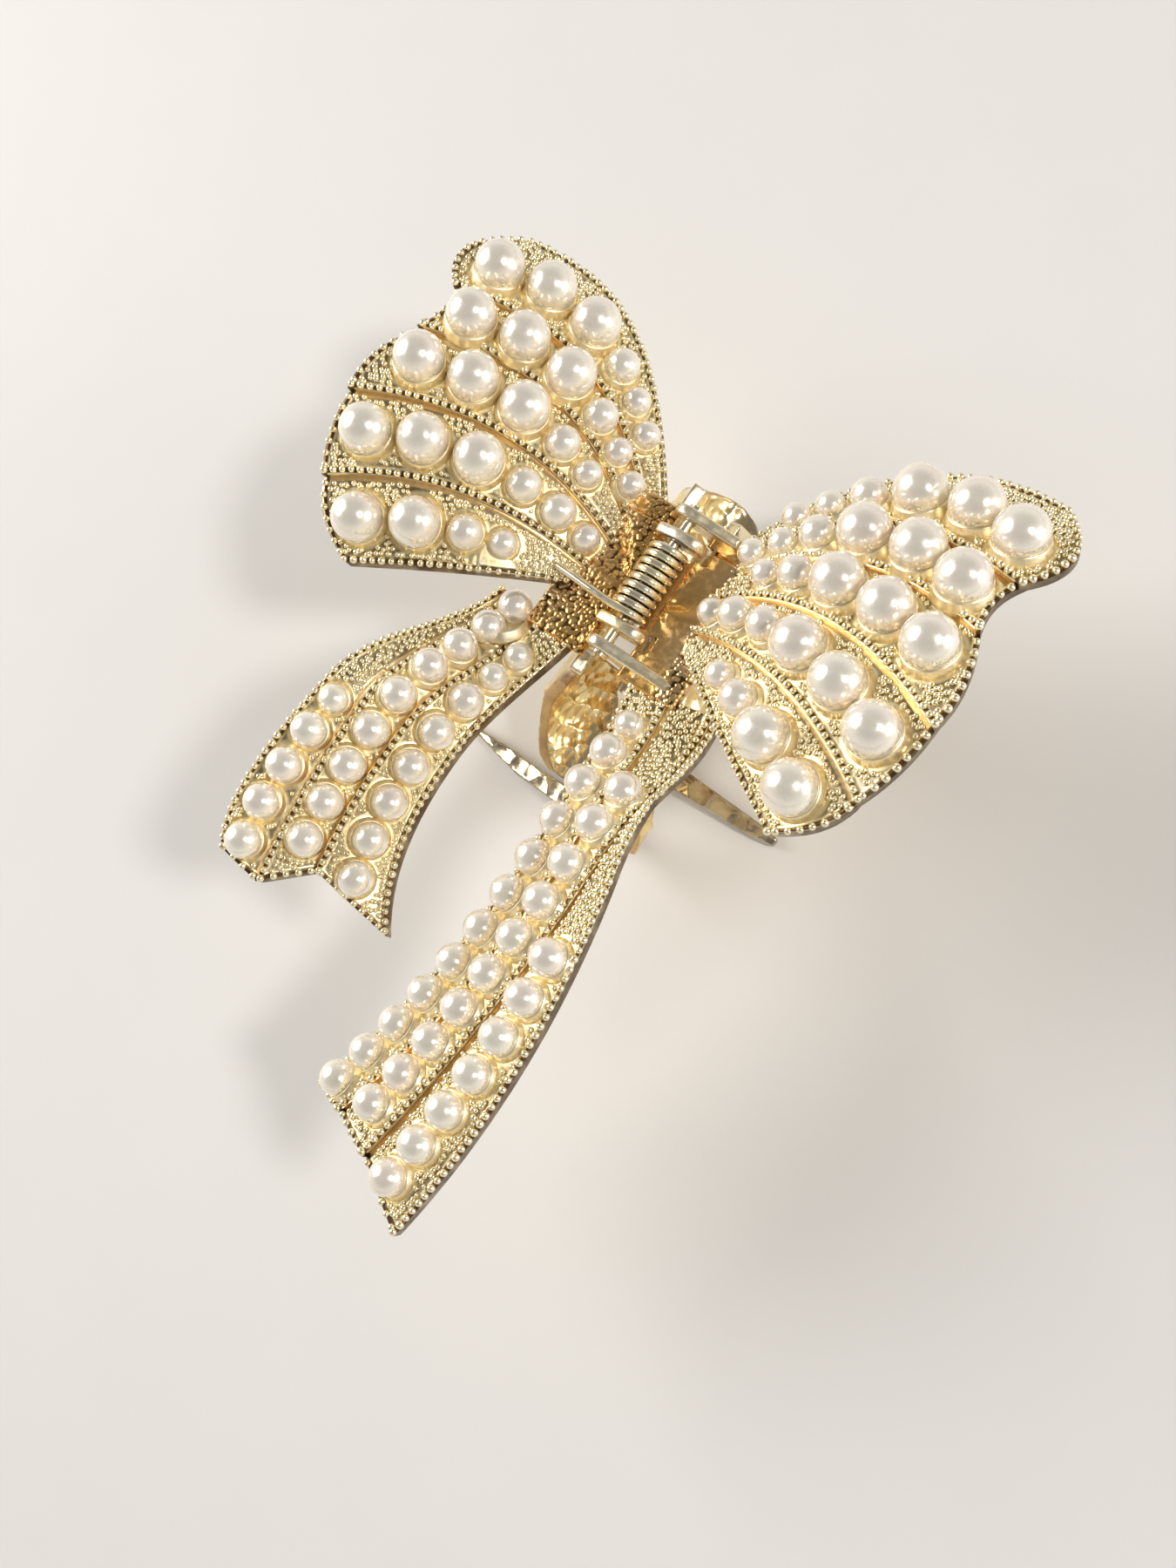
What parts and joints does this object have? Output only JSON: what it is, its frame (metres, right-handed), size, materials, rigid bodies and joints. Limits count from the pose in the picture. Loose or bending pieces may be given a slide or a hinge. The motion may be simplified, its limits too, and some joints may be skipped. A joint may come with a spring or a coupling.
{
  "type": "claw hair clip",
  "caption": "Sprung metal claw hair clip in the shape of a ribbon bow, with rows of domed pearls on its pleated wings and tails.",
  "frame": {"origin": "centre of the bounding box in X and Y, at the level of the finger tips that it rests on", "axes": "+Z out of the bow's face, with the jaws below it; Y along the hinge pin, +Y away from the tails; the right half is on +X"},
  "size_m": [0.0828, 0.1048, 0.048],
  "materials": {
    "gold": "polished light gold plating",
    "gold_wire": "plated wire",
    "pearl": "glossy cream imitation pearl"
  },
  "bodies": {
    "left_half": {"left_jaw": "gold", "left_bow_plate": "gold", "left_wing_pearls_1": "pearl", "left_wing_pearls_2": "pearl", "left_wing_pearls_3": "pearl", "left_wing_pearls_4": "pearl", "left_wing_pearls_5": "pearl", "left_tail_pearls_inner": "pearl", "left_tail_pearls_middle": "pearl", "left_tail_pearls_outer": "pearl", "hinge_pin": "gold", "torsion_spring": "gold_wire"},
    "right_half": {"right_jaw": "gold", "right_bow_plate": "gold", "right_wing_pearls_1": "pearl", "right_wing_pearls_2": "pearl", "right_wing_pearls_3": "pearl", "right_wing_pearls_4": "pearl", "right_wing_pearls_5": "pearl", "right_tail_pearls_inner": "pearl", "right_tail_pearls_middle": "pearl", "right_tail_pearls_outer": "pearl"}
  },
  "joints": [
    {"name": "hinge", "type": "hinge", "parent": "left_half", "child": "right_half", "pos_m": [0, 0.0231, 0.0308], "axis": [0, -1, 0], "range_deg": [0, 80], "stiffness_Nm_per_rad": 0.06, "springref_deg": -34.38, "deforming": ["torsion_spring"]}
  ]
}
